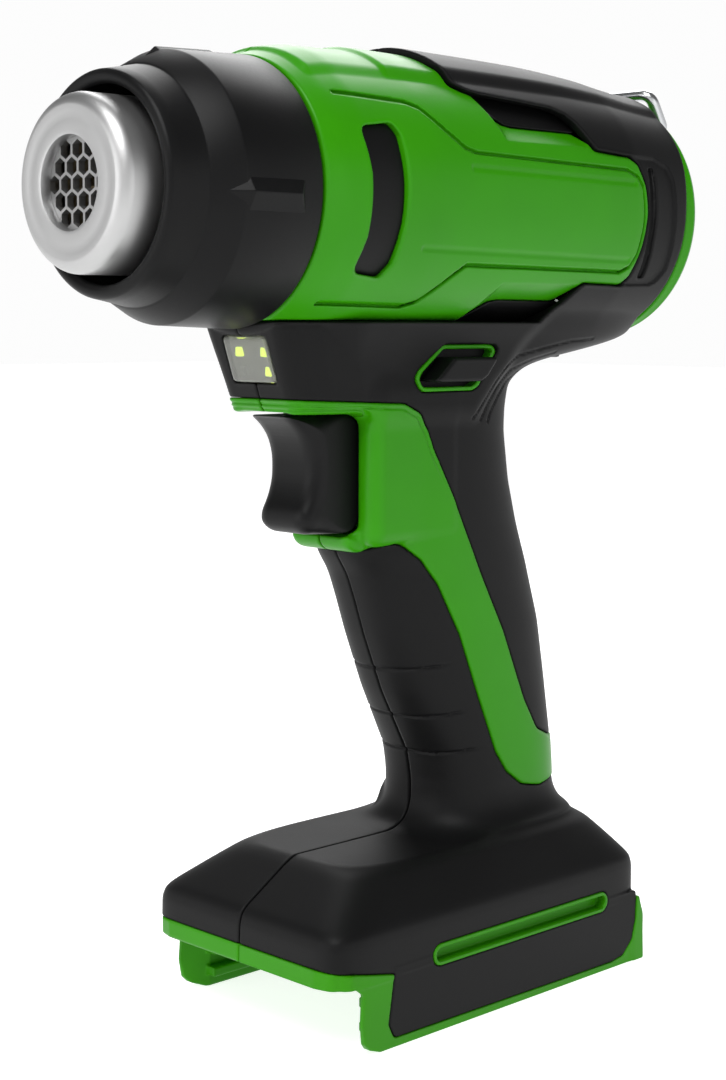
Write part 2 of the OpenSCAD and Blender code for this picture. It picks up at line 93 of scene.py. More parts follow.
class Plan:
    """Distance to a flat outline or line, kept on a grid so that it is quick to look up."""

    def __init__(self, points, closed=True, pad=10.0, cell=0.25):
        pts = np.array(points, float)
        self.lo, self.cell = pts.min(0) - pad, cell
        n = np.ceil((pts.max(0) + pad - self.lo) / cell).astype(int) + 1
        u, v = np.meshgrid(*(self.lo[i] + cell * np.arange(n[i]) for i in (0, 1)), indexing="ij")
        best, inside = np.full(u.shape, 1e9), np.zeros(u.shape, bool)
        for i in range(0 if closed else 1, len(pts)):
            a, b = pts[i - 1], pts[i]
            best = np.minimum(best, segment_distance(u, v, a, b))
            if closed and a[1] != b[1]:
                cross = (a[1] > v) != (b[1] > v)
                inside ^= cross & (u < (b[0] - a[0]) * (v - a[1]) / (b[1] - a[1]) + a[0])
        self.grid = np.where(inside, -best, best).astype(np.float32)

    def __call__(self, u, v):
        g = self.grid
        s = np.clip((u - self.lo[0]) / self.cell, 0, g.shape[0] - 1.001)
        t = np.clip((v - self.lo[1]) / self.cell, 0, g.shape[1] - 1.001)
        i, j = s.astype(int), t.astype(int)
        s, t = s - i, t - j
        return (g[i, j] * (1 - s) * (1 - t) + g[i + 1, j] * s * (1 - t)
                + g[i, j + 1] * (1 - s) * t + g[i + 1, j + 1] * s * t)


class Loft:
    """Body whose level sections are superellipses: rows of z, front x, rear x, half width, squareness."""

    def __init__(self, rows, blur=2.0):
        rows = np.array(sorted(rows), float)
        self.z = np.arange(rows[0, 0], rows[-1, 0] + 0.25, 0.25)
        taps = np.arange(-3 * blur, 3 * blur + 0.1, 0.25)
        weight = np.exp(-0.5 * (taps / blur) ** 2)
        self.cols = []
        for c in range(1, 5):
            wide = np.interp(self.z[:, None] + taps, rows[:, 0], rows[:, c])
            self.cols.append((wide * weight).sum(1) / weight.sum())
        self.top, self.bottom = rows[-1, 0], rows[0, 0]

    def __call__(self, p, cap=1.0):
        front, rear, half, n = (np.interp(p[:, 2], self.z, c) for c in self.cols)
        a, c = (rear - front) / 2, (rear + front) / 2
        u, v = np.abs(p[:, 0] - c) / a + 1e-6, np.abs(p[:, 1]) / half + 1e-6
        s = (u ** n + v ** n) ** (1 / n)
        slope = np.hypot((u / s) ** (n - 1) / a, (v / s) ** (n - 1) / half)
        d = (s - 1) / np.maximum(slope, 1e-4)
        return smax(smax(d, p[:, 2] - self.top, cap), self.bottom - p[:, 2], cap)


def box_field(p, lo, hi, r):
    """Block with rounded edges."""
    c, h = (np.array(lo) + np.array(hi)) / 2, (np.array(hi) - np.array(lo)) / 2 - r
    q = np.abs(p - c) - h
    return np.linalg.norm(np.maximum(q, 0), axis=1) + np.minimum(q.max(1), 0) - r


# ---------------------------------------------------------------- meshing a field

CORNERS = np.array([(i, j, k) for i in (0, 1) for j in (0, 1) for k in (0, 1)])
EDGES = [(a, b) for a in range(8) for b in range(a + 1, 8) if np.abs(CORNERS[a] - CORNERS[b]).sum() == 1]
PROBES = np.array([(1, -1, -1), (-1, -1, 1), (-1, 1, -1), (1, 1, 1)], float)


def in_chunks(field, p, size=400000):
    return np.concatenate([field(p[i:i + size]) for i in range(0, len(p), size)])


def slope_and_value(field, p, h=0.12):
    """Gradient and value of a field from four nearby points."""
    f = [in_chunks(field, p + k * h) for k in PROBES]
    return sum(k * v[:, None] for k, v in zip(PROBES, f)) / (4 * h), sum(f) / 4


def field_values(field, lo, hi, step):
    """The field on a grid: worked out near its zero level, and only by sign elsewhere."""
    n = np.ceil((hi - lo) / step / BLOCK).astype(int) + 1
    blocks = np.argwhere(np.ones(n, bool))
    d = in_chunks(field, lo + (blocks * BLOCK + (BLOCK - 1) / 2) * step)
    vals = np.where(d < 0, -99, 99).astype(np.float32).reshape(n)
    vals = vals.repeat(BLOCK, 0).repeat(BLOCK, 1).repeat(BLOCK, 2)
    view = vals.reshape(n[0], BLOCK, n[1], BLOCK, n[2], BLOCK)
    near = blocks[np.abs(d) < BLOCK * step * 1.05 + 1.0]
    offsets = np.argwhere(np.ones((BLOCK,) * 3, bool)) * step
    for i in range(0, len(near), 500):
        part = near[i:i + 500]
        pts = (lo + part * BLOCK * step)[:, None, :] + offsets
        f = field(pts.reshape(-1, 3)).reshape(-1, BLOCK, BLOCK, BLOCK)
        view[part[:, 0], :, part[:, 1], :, part[:, 2], :] = f
    return vals


def net(vals, lo, step):
    """Surface net of the zero level: one vertex in each cell that it crosses."""
    inside = vals < 0
    size = np.array(vals.shape) - 1
    count = sum(inside[i:i + size[0], j:j + size[1], k:k + size[2]].astype(np.uint8) for i, j, k in CORNERS)
    active = (count > 0) & (count < 8)
    cells = np.argwhere(active)
    ids = np.full(active.shape, -1, np.int64)
    ids[active] = np.arange(len(cells))
    v = np.stack([vals[tuple((cells + c).T)] for c in CORNERS], 1)
    pos, hits = np.zeros((len(cells), 3)), np.zeros((len(cells), 1))
    for a, b in EDGES:
        cross = ((v[:, a] < 0) != (v[:, b] < 0))[:, None]
        t = (v[:, a] / np.where(cross[:, 0], v[:, a] - v[:, b], 1))[:, None]
        pos += cross * (CORNERS[a] + t * (CORNERS[b] - CORNERS[a]))
        hits += cross
    quads = []
    for axis in range(3):
        o1, o2 = (axis + 1) % 3, (axis + 2) % 3
        ahead = np.roll(inside, -1, axis)
        cut = np.argwhere(inside != ahead)
        cut = cut[(cut[:, o1] > 0) & (cut[:, o2] > 0) & (cut[:, axis] < size[axis])]
        start = inside[tuple(cut.T)]
        ring = []
        for d1, d2 in ((1, 1), (0, 1), (0, 0), (1, 0)):
            cell = cut.copy()
            cell[:, o1] -= d1
            cell[:, o2] -= d2
            ring.append(ids[tuple(cell.T)])
        q = np.stack(ring, 1)
        quads.append(np.where(start[:, None], q, q[:, ::-1]))
    return lo + (cells + pos / hits) * step, np.concatenate(quads)


def skin(field, lo, hi, step):
    """Vertices, quads and normals of a field's zero level, settled onto the true surface."""
    step = step
    lo, hi = np.array(lo, float) - 2 * step, np.array(hi, float) + 2 * step
    verts, quads = net(field_values(field, lo, hi, step), lo, step)
    for _ in range(2):
        g, f = slope_and_value(field, verts)
        move = g * (f / np.maximum((g * g).sum(1), 0.05))[:, None]
        far = np.linalg.norm(move, axis=1, keepdims=True)
        verts -= move * np.minimum(1, 0.7 * step / np.maximum(far, 1e-9))
    g, _ = slope_and_value(field, verts, 0.26)
    return verts, quads, g / np.maximum(np.linalg.norm(g, axis=1, keepdims=True), 1e-9)


# ---------------------------------------------------------------- pieces

def add_mesh(name, verts, faces, normals=None, smooth=True):
    """New object from arrays in millimetres."""
    mesh = bpy.data.meshes.new(name)
    faces = np.asarray(faces)
    mesh.vertices.add(len(verts))
    mesh.vertices.foreach_set("co", (np.asarray(verts) * MM).astype(np.float32).ravel())
    mesh.loops.add(faces.size)
    mesh.loops.foreach_set("vertex_index", faces.ravel().astype(np.int32))
    mesh.polygons.add(len(faces))
    mesh.polygons.foreach_set("loop_start", np.arange(0, faces.size, faces.shape[1]).astype(np.int32))
    mesh.update(calc_edges=True)
    mesh.validate()
    mesh.shade_smooth() if smooth else mesh.shade_flat()
    if normals is not None and len(mesh.vertices) == len(normals):
        mesh.normals_split_custom_set_from_vertices(normals.tolist())
    obj = bpy.data.objects.new(name, mesh)
    bpy.context.collection.objects.link(obj)
    return obj


def settle(obj, material, body, nodes=()):
    """Gives a piece its material, its body and the CAD nodes it stands for."""
    obj.data.materials.clear()
    obj.data.materials.append(material)
    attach(obj, body)
    if nodes:
        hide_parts(*nodes)
    return obj


def moulding(name, field, lo, hi, step, material, body="body", nodes=()):
    """One piece from a field."""
    verts, quads, normals = skin(field, lo, hi, step)
    return settle(add_mesh(name, verts, quads, normals), material, body, nodes)


def moulding_pair(name, field, lo, hi, step, material, nodes=((), ())):
    """Left half from a field, and its mirror image on the right."""
    verts, quads, normals = skin(field, lo, hi, step)
    flip = np.array([1, -1, 1])
    left = add_mesh(name + "_left", verts, quads, normals)
    right = add_mesh(name + "_right", verts * flip, quads[:, ::-1], normals * flip)
    settle(left, material, "body", nodes[0])
    settle(right, material, "body", nodes[1])


def turned(name, profile, material, body="body", nodes=(), steps=192, drop=0.0):
    """Piece turned about the barrel axis, or an axis a little under it, from an outline of x, radius."""
    pts = np.array(profile, float)
    ang = np.linspace(0, 2 * math.pi, steps, endpoint=False)
    ring = np.stack([np.repeat(pts[:, 0], steps), np.outer(pts[:, 1], np.cos(ang)).ravel(),
                     np.outer(pts[:, 1], np.sin(ang)).ravel()], 1)
    ring[:, 2] -= drop
    n = len(pts)
    i, j = np.meshgrid(np.arange(n), np.arange(steps), indexing="ij")
    i, j = i.ravel(), j.ravel()
    a, b = i * steps, (i + 1) % n * steps
    k = (j + 1) % steps
    obj = add_mesh(name, ring, np.stack([a + j, b + j, b + k, a + k], 1))
    obj.data.set_sharp_from_angle(angle=math.radians(32))
    return settle(obj, material, body, nodes)


def tube_mesh(name, path, r, sides=20):
    """Round wire through points, in millimetres."""
    pts = np.array(path, float)
    ahead = np.gradient(pts, axis=0)
    ahead /= np.linalg.norm(ahead, axis=1, keepdims=True)
    u = np.cross(ahead[0], [0.31, 0.2, 0.93])
    ang = np.linspace(0, 2 * math.pi, sides, endpoint=False)
    verts = []
    for q, d in zip(pts, ahead):
        u = u - d * (u @ d)
        u /= np.linalg.norm(u)
        verts.append(q + r * (np.outer(np.cos(ang), u) + np.outer(np.sin(ang), np.cross(d, u))))
    i, j = np.meshgrid(np.arange(len(pts) - 1), np.arange(sides), indexing="ij")
    i, j = i.ravel() * sides, j.ravel()
    k = (j + 1) % sides
    return add_mesh(name, np.concatenate(verts), np.stack([i + j, i + k, i + sides + k, i + sides + j], 1))


# ---------------------------------------------------------------- outlines, in millimetres

# Barrel: x, radius
BARREL = np.array([(49.5, 33), (55, 34.6), (62, 35.7), (85, 36.2), (165, 35.4), (188, 33.8)])
# Handle: z, front x, rear x, half width, squareness
GRIP_ROWS = [(-26, 86, 192, 19.0, 3.0), (-35.6, 85, 190, 18.6, 2.9), (-37.8, 84.5, 179, 18.4, 2.8),
             (-39.8, 84, 167.4, 18.2, 2.8), (-41.2, 84, 156, 18.0, 2.8), (-43.6, 84, 147.8, 17.9, 2.8),
             (-47.3, 84, 142, 17.7, 2.8), (-54, 83, 141.1, 17.5, 2.7), (-60.5, 83, 141, 17.3, 2.7),
             (-74, 83, 143.2, 17.3, 2.7), (-86, 83, 146.8, 17.4, 2.7), (-91, 84, 148.6, 17.5, 2.7),
             (-97, 88.2, 150.8, 17.5, 2.7), (-104, 91, 153, 17.5, 2.7),
             (-114, 94.6, 156.2, 17.6, 2.7), (-130, 101.4, 158.8, 17.8, 2.7), (-148, 111.4, 160.4, 18.4, 2.8),
             (-155, 112.8, 160.9, 18.6, 2.8), (-176, 113.5, 162, 18.8, 2.8)]
# Base: the same
BASE_ROWS = [(-168.8, 71, 161, 23, 5), (-170.8, 66.8, 164.8, 27, 6), (-180, 52.4, 170.2, 34.8, 11),
             (-181.6, 51.3, 170.7, 35.8, 13), (-184, 50.7, 171, 36.05, 14), (-195, 50.4, 171.2, 36.05, 14)]
# Side views: x, z
CHIN = [(50.6, -24), (51.7, -33), (55.6, -44), (59.2, -54.2), (118, -54.2), (130, -42), (140, -24)]
PANEL = [(40, 46), (97.6, 46), (99.5, 33.6), (101.8, 28.5), (105.3, 27), (108.7, 26.3), (122.3, 25.6),
         (135.9, 24.7), (140.6, 23.4), (143.3, 21.2), (148.3, 14.4), (162.9, 13.6), (166.4, 11.8), (168.6, 6),
         (169.3, -1), (168.8, -11), (167.6, -18.6), (164.9, -20.9), (148.4, -20.6), (146.2, -23.4),
         (144.7, -25.7), (141.2, -28.8), (139, -30.9), (40, -30.9)]
UPPER_WINDOW = [(106, 29), (108.9, 26.6), (113.6, 21), (116.8, 19.2), (120.5, 18.8), (146.5, 19), (142, 27)]
LOWER_WINDOW = [(110, -35), (113.6, -30.9), (118.6, -25.8), (122, -25.3), (148, -25.4), (146, -35)]
VENT = [(61.4, 14.9), (72.2, 16.4), (74, 13.4), (74.3, 3), (74.2, -7), (73.4, -17), (71, -20.4), (61.4, -19.4),
        (62.8, -11), (62.8, 4)]
GROOVE = [(57.9, 22.9), (79.8, 22.1), (83.9, 21), (90.2, 16), (95.9, 11.9), (100.2, 10.8), (161, 9.9),
          (165, 8.4), (167, 5.6), (167.7, -3), (167.2, -12.4), (165.6, -15.9), (162.4, -17.3), (99.5, -16.8),
          (96, -19.3), (88.2, -26.1), (84.3, -27.2), (56.8, -26.7)]
RIDGES = [[(98, 7), (163.5, 6.6)], [(82, -13.2), (164, -14.2)]]
REAR_SLOT = [(170.6, 11), (173.4, 11), (172.9, 3), (173.2, -8), (174.6, -18.8), (171.6, -18.6), (170.4, -10),
             (169.9, 2)]
STRIP = [(40, -49.4), (90.9, -51.8), (97.1, -54.4), (101, -59), (103.2, -64), (111.5, -78), (121.5, -97.6), (131, -114.6),
         (140, -135), (145.5, -144), (153, -147.2), (175, -147.8), (176, -158.8), (153, -159.6), (146, -160.2),
         (138.3, -158.6), (132, -154), (128, -148), (114, -114), (106, -100), (100, -93), (93, -88),
         (87.6, -89), (84, -90.6), (80.6, -90.2), (78.4, -88.4), (77.6, -85.4), (80, -85.2), (80, -54.2),
         (40, -54.2)]
TRIGGER = [(60.2, -54.5), (61.4, -55.3), (64.2, -57.4), (66.9, -60.6), (68.4, -65), (68.4, -71), (67, -75.4),
           (64.8, -79.2), (64.6, -82.4), (67.2, -84.8), (72, -85), (80.6, -84.9), (83.6, -82.6), (85.2, -78.6),
           (85.4, -72), (85.4, -62), (84.8, -59), (82.6, -55.4), (78, -54.5), (70, -54.5)]
POCKET = [(94.6, -45.8), (96, -43.4), (104.6, -36.9), (123.6, -36.9), (125.4, -38.6), (118.4, -48), (116, -49),
          (96.8, -49)]
BUTTON = [(98.4, -46.2), (105.4, -40.2), (122.6, -40.2), (118.2, -45.2), (115.8, -46.5), (100.6, -46.5)]
LENS = [(52.0, -34.4), (56.0, -46.2), (68, -46.2), (68, -34.4)]
SIDE_PANEL = [(71, -191.4), (70.9, -193.4), (69, -205.6), (71, -209.4), (158, -210), (163, -209.2),
              (166.9, -205.6), (168.4, -200), (168.7, -193.6), (168.6, -191.4)]
SLOT = ((87.8, -191.7), (152.6, -191.7))
UPPER_FACET = [(104, 29), (107.4, 26.3), (110.6, 20.4), (112.9, 14.6), (145.9, 15.1), (150, 19), (144, 30)]
LOWER_FACET = [(108, -36), (109.7, -30.5), (113.8, -23.8), (116.3, -20.9), (147.1, -20.9), (152, -25),
               (148, -36)]
BAND_X, BAND_Z = (50, 58, 71, 75), (-188.9, -190.2, -192.9, -193.2)
RECESS = [(160, 14.2), (174, 14), (180, 11.8), (181.6, 8.3), (181.7, 2.8), (182.2, -6.8), (183.2, -16.5), (181, -20),
          (178.4, -21), (160, -21.4)]
SCREWS = [(68, -41), (150, -39), (134, -61), (128, -122), (122, -165)]
FINGER_GROOVES = [(-124, 93), (-137.6, 99), (-148.4, 104)]
HAIRLINES = [[(167, -35.6), (156.8, -36.2), (145.4, -38), (135.1, -39.9), (130.4, -42.6), (125.8, -47.2),
              (121.8, -51.6), (117.6, -56.4)],
             [(152.2, -39.2), (143.4, -40.9), (133.8, -43.7), (128.4, -48.1), (124.2, -52.6), (121.3, -57)],
             [(139.5, -44.2), (133.9, -46.6), (129.2, -50.8), (125.9, -54.7), (124.6, -57.6)]]

# ---------------------------------------------------------------- fields of the body

barrel_x = np.arange(40, 200, 0.25)
barrel_r = np.interp(barrel_x, BARREL[:, 0], BARREL[:, 1])
barrel_r = np.convolve(np.pad(barrel_r, 6, mode="edge"), np.ones(13) / 13, "valid")
panel = Plan(rounded(PANEL, 2.2))
windows = [Plan(rounded(w, 1.2)) for w in (UPPER_WINDOW, LOWER_WINDOW)]
facets = [Plan(rounded(w, 1.0)) for w in (UPPER_FACET, LOWER_FACET)]
vent = Plan(rounded(VENT, 2.4))
groove = Plan(GROOVE, closed=False)
ridges = [Plan(r, closed=False) for r in RIDGES]
rear_slot = Plan(rounded(REAR_SLOT, 1.2))
recess = Plan(rounded(RECESS, 2.0))
strip = Plan(rounded(STRIP, 5.0), pad=14)
trigger_side = Plan(rounded(TRIGGER, 60.0))
pocket = Plan(rounded(POCKET, 3.0))
button = Plan(rounded(BUTTON, 0.8))
lens = Plan(rounded(LENS, 1.6))
side_panel = Plan(rounded(SIDE_PANEL, 1.6))
chin_side = Plan(rounded(CHIN, 1.8), pad=16)
hairlines = [Plan(h, closed=False, pad=3) for h in HAIRLINES]
grip_loft, base_loft = Loft(GRIP_ROWS, blur=1.3), Loft(BASE_ROWS, blur=0.6)


def top_rise(x, top):
    """How far the barrel's top stands above the plain turned shape."""
    steps = 0.9 * step01(x, 53.6, 55.8) + 0.8 * step01(x, 78.6, 80.8) - 0.7 * step01(x, 120, 185)
    return steps * step01(top, 0.77, 0.85)


def barrel(p, grow=0.0):
    r = np.hypot(p[:, 1], p[:, 2])
    return r - np.interp(p[:, 0], barrel_x, barrel_r) - top_rise(p[:, 0], p[:, 2] / np.maximum(r, 1)) - grow


def line_cut(dist, depth, half):
    """Depth of a rounded engraved line at a distance from its middle."""
    return depth * (1 - step01(dist, 0, half))


def chin(p):
    """Block under the barrel: its front leans back and is narrower than its flanks."""
    x, z = p[:, 0], p[:, 2]
    front = np.interp(z, (-54.2, -33), (59.2, 51.7))
    half = np.interp(x - front, (0, 4, 10, 20), (12.4, 14.6, 16.6, 17.6)) + 2.0 * step01(z, -54, -26)
    return smax(chin_side(x, z), np.abs(p[:, 1]) - half, 3.5)


def trigger_room(p):
    """Space that the trigger and its stem slide in."""
    bore = np.maximum(np.hypot(p[:, 1], p[:, 2] + 70) - 3.6, p[:, 0] - 109)
    return np.minimum(box_field(p, (48, -10.3, -85.4), (96, 10.3, -54.3), 3.2), np.maximum(bore, 90 - p[:, 0]))


def base(p):
    """Black upper half of the battery foot."""
    band = np.interp(p[:, 0], BAND_X, BAND_Z)
    return smax(smax(base_loft(p), p[:, 2] + 169.2, 1.0), band - p[:, 2], 0.5)


def handle(p):
    rim = box_field(p, (81.8, -17.2, -88.5), (114, 17.2, -46), 4.0)
    return smin(smin(chin(p), smin(grip_loft(p), rim, 1.0), 5.0), base(p), 11.0)


def slot(x, z):
    """Distance to the rounded slot in the side of the foot."""
    return segment_distance(x, z, *np.array(SLOT)) - 2.85


def seam(p):
    return p[:, 1] + SEAM


def ends(p, x0, x1):
    return np.maximum(x0 - p[:, 0], p[:, 0] - x1)


def green_shell(p):
    """Left green shell of the barrel, with its pockets, vent and engraved lines."""
    x, z = p[:, 0], p[:, 2]
    cut = line_cut(groove(x, z), 1.3, 0.62)
    for r in ridges:
        cut = cut + line_cut(r(x, z), 0.35, 1.2)
    for w, outer in zip(windows, facets):
        into = np.maximum(-outer(x, z), 0)
        cut = np.maximum(cut, 2.7 * into / np.maximum(into + np.maximum(w(x, z), 0), 0.05))
    d = barrel(p) + cut
    d = smax(d, panel(x, z) + 0.12, 0.7)
    d = smax(d, -vent(x, z), 0.9)
    for w in windows:
        d = smax(d, -w(x, z), 0.4)
    d = smax(d, ends(p, 49.7, 187), 0.8)
    d = np.maximum(d, -(barrel(p) + 3.4))
    return smax(d, seam(p), 0.5)


def overmould(p):
    """Left soft black skin: chin, handle, base, saddle and rear band."""
    x, z = p[:, 0], p[:, 2]
    side = np.abs(p[:, 1])
    top = step01(z / np.maximum(np.hypot(p[:, 1], z), 1), 0.3, 0.95)
    proud = 0.9 + 0.8 * top - 1.5 * top * step01(x, 140, 186)
    proud = proud - 0.7 * (1 - step01(recess(x, z), -0.9, 0.1))
    rear = 187.6 + 3.6 * step01(z, -2, 30)
    hug = smax(barrel(p) - proud, np.maximum(50.2 - x, x - rear), 1.6)
    d = smin(handle(p), hug, 9.0 * step01(-z, 20, 34) * step01(x, 60, 76) + 0.2)
    wall = smax(smax(side_panel(x, z), side - 36.03, 0.3), 34.0 - side, 0.3)
    d = smin(d, wall, 0.3)
    d = smax(d, -(panel(x, z) - 0.12), 0.9)
    d = smax(d, -(strip(x, z) - 0.05), 0.45)
    d = smax(d, -trigger_room(p), 1.0)
    d = smax(d, -smax(pocket(x, z) - 0.1, 16.2 - side, 0.5), 0.5)
    d = smax(d, -smax(slot(x, z) - 0.08, 32.2 - side, 0.3), 0.4)
    d = smax(d, -smax(rear_slot(x, z), -(barrel(p) + 1.0), 0.3), 0.6)
    for z0, x0 in FINGER_GROOVES:
        d = d + line_cut(np.abs(z - z0 - 0.12 * (x - x0)), 0.55, 0.6) * (1 - step01(x - x0, 14, 20))
    for h in hairlines:
        d = d + line_cut(h(x, z), 0.4, 0.55)
    d = smax(d, -lens_room(p), 0.6)
    d = smax(d, -collar_room(p), 0.6)
    tongue = smax(smax(np.abs(barrel(p) + 4.0) - 0.5, np.abs(panel(x, z)) - 2.4, 0.2), ends(p, 51, 186), 0.2)
    d = np.minimum(d, tongue)
    return smax(d, seam(p), 0.5)


def lens_room(p):
    return smax(lens(p[:, 0], p[:, 2]) - 0.25, np.abs(p[:, 1]) - 8.3, 1.5)


def collar_room(p):
    """Space of the heat collar and of everything inside the barrel."""
    r = np.hypot(p[:, 1], p[:, 2])
    inner = np.interp(p[:, 0], barrel_x, barrel_r) - np.where(p[:, 0] > 169, 3.0, 1.4)
    return np.maximum(r - np.where(p[:, 0] < 49.6, 33.5, inner), ends(p, 20, 190))


def green_strip(p):
    """Left green trim: band under the chin, trigger surround, lip and handle strip."""
    x, z = p[:, 0], p[:, 2]
    lip = smax(smax(strip(x, z), np.abs(p[:, 1]) - 11.2, 3.0), x - 90, 0.2)
    lip = np.maximum(lip, z + 84)
    d = smin(handle(p) - 0.25, lip, 1.2)
    d = smax(d, strip(x, z) + 0.05, 0.7)
    d = d + line_cut(np.abs(strip(x, z) + 1.35), 0.4, 0.5) * step01(z, -76, -64)
    d = smax(d, -trigger_room(p), 2.2)
    d = np.maximum(d, z + 46)
    return smax(d, seam(p), 0.5)


# ---------------------------------------------------------------- materials

def link(tree, a, out, b, inp):
    tree.links.new(a.outputs[out], b.inputs[inp])


def moulded(name, base, rough, grain=1500.0, bump=0.12, metal=0.0, spread=0.06, fade=0.12, stretch=(1, 1, 1),
            coat=0.0, depth=0.00005, shine=0.5, clear=0.0, glow=0.0):
    """Surface with fine grain and slight patches of gloss and colour."""
    mat = bpy.data.materials.new(name)
    mat.use_nodes = True
    tree = mat.node_tree
    node = tree.nodes.new
    shader = tree.nodes["Principled BSDF"]
    shader.inputs["Metallic"].default_value = metal
    shader.inputs["Coat Weight"].default_value = coat
    shader.inputs["Coat Roughness"].default_value = 0.25
    shader.inputs["Specular IOR Level"].default_value = shine
    shader.inputs["Transmission Weight"].default_value = clear
    shader.inputs["Emission Color"].default_value = (*base, 1)
    shader.inputs["Emission Strength"].default_value = glow
    place = node("ShaderNodeTexCoord")
    stretched = node("ShaderNodeMapping")
    stretched.inputs["Scale"].default_value = stretch
    link(tree, place, "Object", stretched, "Vector")
    fine = node("ShaderNodeTexNoise")
    fine.inputs["Scale"].default_value = grain
    fine.inputs["Detail"].default_value = 3.0
    link(tree, stretched, "Vector", fine, "Vector")
    broad = node("ShaderNodeTexNoise")
    broad.inputs["Scale"].default_value = 38.0
    broad.inputs["Detail"].default_value = 4.0
    link(tree, place, "Object", broad, "Vector")
    tint = node("ShaderNodeMix")
    tint.data_type = "RGBA"
    dark = [c * (1 - fade) for c in base]
    light = [min(1, c * (1 + fade)) for c in base]
    tint.inputs["A"].default_value = (*dark, 1)
    tint.inputs["B"].default_value = (*light, 1)
    link(tree, broad, "Fac", tint, "Factor")
    link(tree, tint, "Result", shader, "Base Color")
    gloss = node("ShaderNodeMapRange")
    gloss.inputs["To Min"].default_value = rough - spread
    gloss.inputs["To Max"].default_value = rough + spread
    both = node("ShaderNodeMath")
    both.operation = "ADD"
    half = node("ShaderNodeMath")
    half.operation = "MULTIPLY"
    half.inputs[1].default_value = 0.5
    link(tree, fine, "Fac", both, 0)
    link(tree, broad, "Fac", both, 1)
    link(tree, both, 0, half, 0)
    link(tree, half, 0, gloss, "Value")
    link(tree, gloss, "Result", shader, "Roughness")
    relief = node("ShaderNodeBump")
    relief.inputs["Strength"].default_value = bump
    relief.inputs["Distance"].default_value = depth
    link(tree, fine, "Fac", relief, "Height")
    link(tree, relief, "Normal", shader, "Normal")
    return mat


GREEN = moulded("green_plastic", (0.024, 0.215, 0.0), 0.36, grain=1700, bump=0.22, shine=0.16)
GREEN_DARK = moulded("green_foot", (0.026, 0.205, 0.0), 0.42, grain=1700, bump=0.25, shine=0.14)
RUBBER = moulded("soft_black", (0.0045, 0.0045, 0.0047), 0.5, grain=2300, bump=0.3, fade=0.2, shine=0.12)
BLACK = moulded("black_plastic", (0.0034, 0.0034, 0.0036), 0.42, grain=1500, bump=0.2, fade=0.2, shine=0.13)
TRIGGER_BLACK = moulded("trigger_plastic", (0.0038, 0.0038, 0.004), 0.42, grain=1800, bump=0.25, fade=0.2,
                        shine=0.15)
STEEL = moulded("satin_steel", (0.42, 0.42, 0.42), 0.43, grain=900, bump=0.08, metal=1.0, stretch=(1, 9, 9),
                fade=0.04)
GUARD = moulded("guard_steel", (0.3, 0.3, 0.3), 0.36, grain=1300, bump=0.15, metal=0.9)
WIRE = moulded("bright_wire", (0.5, 0.51, 0.52), 0.26, grain=1200, bump=0.06, metal=1.0, stretch=(1, 8, 1))
INNER = moulded("recess_black", (0.003, 0.003, 0.0032), 0.5, grain=1500, bump=0.2, shine=0.25)
SMOKY = moulded("smoky_lens", (0.5, 0.52, 0.45), 0.1, grain=700, bump=0.04, coat=0.3, clear=0.85)
CHIP = moulded("light_chip", (0.62, 0.78, 0.03), 0.3, grain=900, bump=0.1, glow=3.0)
BOARD = moulded("board_green", (0.02, 0.1, 0.03), 0.4, grain=1200)
COPPER = moulded("copper", (0.55, 0.22, 0.1), 0.35, grain=1500, metal=0.9)
BRASS = moulded("brass", (0.6, 0.42, 0.14), 0.3, grain=1500, metal=0.95)
MICA = moulded("mica", (0.3, 0.24, 0.15), 0.45, grain=500, fade=0.2)
CERAMIC = moulded("ceramic", (0.6, 0.58, 0.52), 0.55, grain=900)
RED = moulded("red_sleeve", (0.45, 0.03, 0.02), 0.4, grain=1500)
NYLON = moulded("nylon", (0.06, 0.06, 0.06), 0.4, grain=1500)

CAD_LOOKS = {
    STEEL: ["heater_shield", "motor_can", "motor_shaft", "housing_screws", "ring_screws", "trigger_spring",
            "heating_coil"],
    GUARD: ["nozzle_grille"],
    INNER: ["air_guide", "motor_mount", "motor_magnets", "switch_module", "terminal_block", "intake_grille"],
    MICA: ["mica_sleeve", "mica_former"], CERAMIC: ["heater_flange"], COPPER: ["motor_armature"],
    BRASS: ["thermal_cutout", "terminals", "motor_bushes"], BOARD: ["control_board"], RED: ["motor_leads"],
    RUBBER: ["battery_leads"], NYLON: ["fan_impeller", "led_board"],
}


def dress_frame():
    """Materials of the CAD nodes that stay as they are."""
    for mat, names in CAD_LOOKS.items():
        for name in names:
            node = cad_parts[name]
            node.data.materials.clear()
            node.data.materials.append(mat)


# ---------------------------------------------------------------- pieces of the tool

def make_barrel():
    moulding_pair("green_shell", green_shell, (49, -39, -37), (188, 1, 39), 0.42, GREEN,
                  (("housing_left",), ("housing_right",)))

    def vent_floor(p):
        d = smax(barrel(p) + 1.5, -2.6 - barrel(p), 0.2)
        return np.maximum(smax(d, vent(p[:, 0], p[:, 2]) + 0.05, 0.3), p[:, 1] + 12)

    def window_floor(p):
        d = smax(barrel(p) + 1.9, -3.2 - barrel(p), 0.2)
        both = np.minimum(windows[0](p[:, 0], p[:, 2]), windows[1](p[:, 0], p[:, 2]))
        return np.maximum(smax(d, both + 0.05, 0.3), p[:, 1] + 12)

    moulding_pair("vent_insert", vent_floor, (60, -38, -22), (77, -10, 18), 0.4, BLACK,
                  (("side_vents",), ()))
    moulding_pair("window_floor", window_floor, (104, -38, -36), (150, -10, 32), 0.4, BLACK,
                  (("window_panels",), ()))


